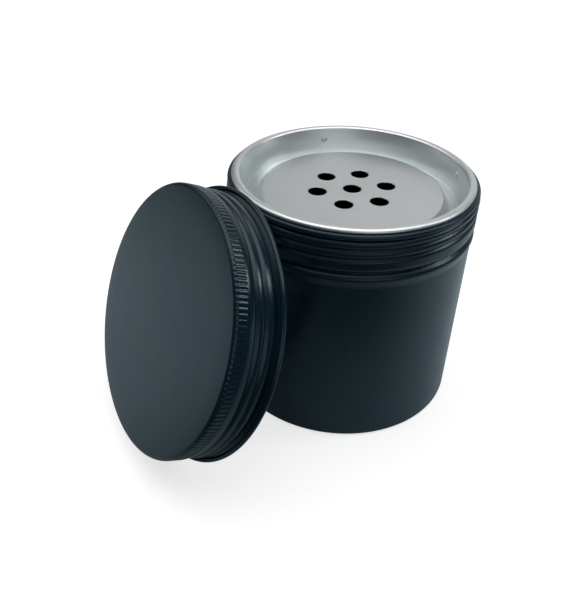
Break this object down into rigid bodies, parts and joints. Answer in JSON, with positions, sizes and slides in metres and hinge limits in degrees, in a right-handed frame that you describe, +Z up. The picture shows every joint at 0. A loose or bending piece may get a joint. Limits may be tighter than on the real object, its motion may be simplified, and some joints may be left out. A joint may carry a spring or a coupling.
{
  "type": "screw-top candle tin",
  "caption": "Round drawn-metal screw-top tin with a perforated pan seated in its mouth and the knurled lid leaning against it.",
  "frame": {"origin": "centre of the can's flat foot, on the surface it stands on", "axes": "+Z up along the can's axis; -Y is the side the tin is looked at from, and the lid leans at the front left, between -X and -Y"},
  "size_m": [0.126, 0.1237, 0.0865],
  "materials": {
    "black_paint": "satin black paint on drawn aluminium",
    "black_paint_lid": "satin black paint on drawn aluminium",
    "bare_aluminium": "plain satin aluminium",
    "foam_wad": "matt closed-cell polyethylene foam"
  },
  "bodies": {
    "can": {"can": "black_paint"},
    "pan": {"pan": "bare_aluminium"},
    "wad": {"lid_wad": "foam_wad"},
    "lid": {"lid_shell": "black_paint_lid"}
  },
  "joints": [
    {"name": "pan_lift", "type": "slide", "parent": "can", "child": "pan", "axis": [0, 0, 1], "range_m": [0, 0.02]},
    {"name": "lid_swing", "type": "hinge", "parent": "can", "child": "wad", "pos_m": [0.0199, 0.01708, 0.03402], "axis": [-0.5149, 0.8481, -0.1247], "range_deg": [0, 68.22]},
    {"name": "lid_turn", "type": "hinge", "parent": "wad", "child": "lid", "pos_m": [-0.05585, -0.0461, 0.04706], "axis": [-0.7472, -0.5447, 0.3807], "continuous": true}
  ]
}
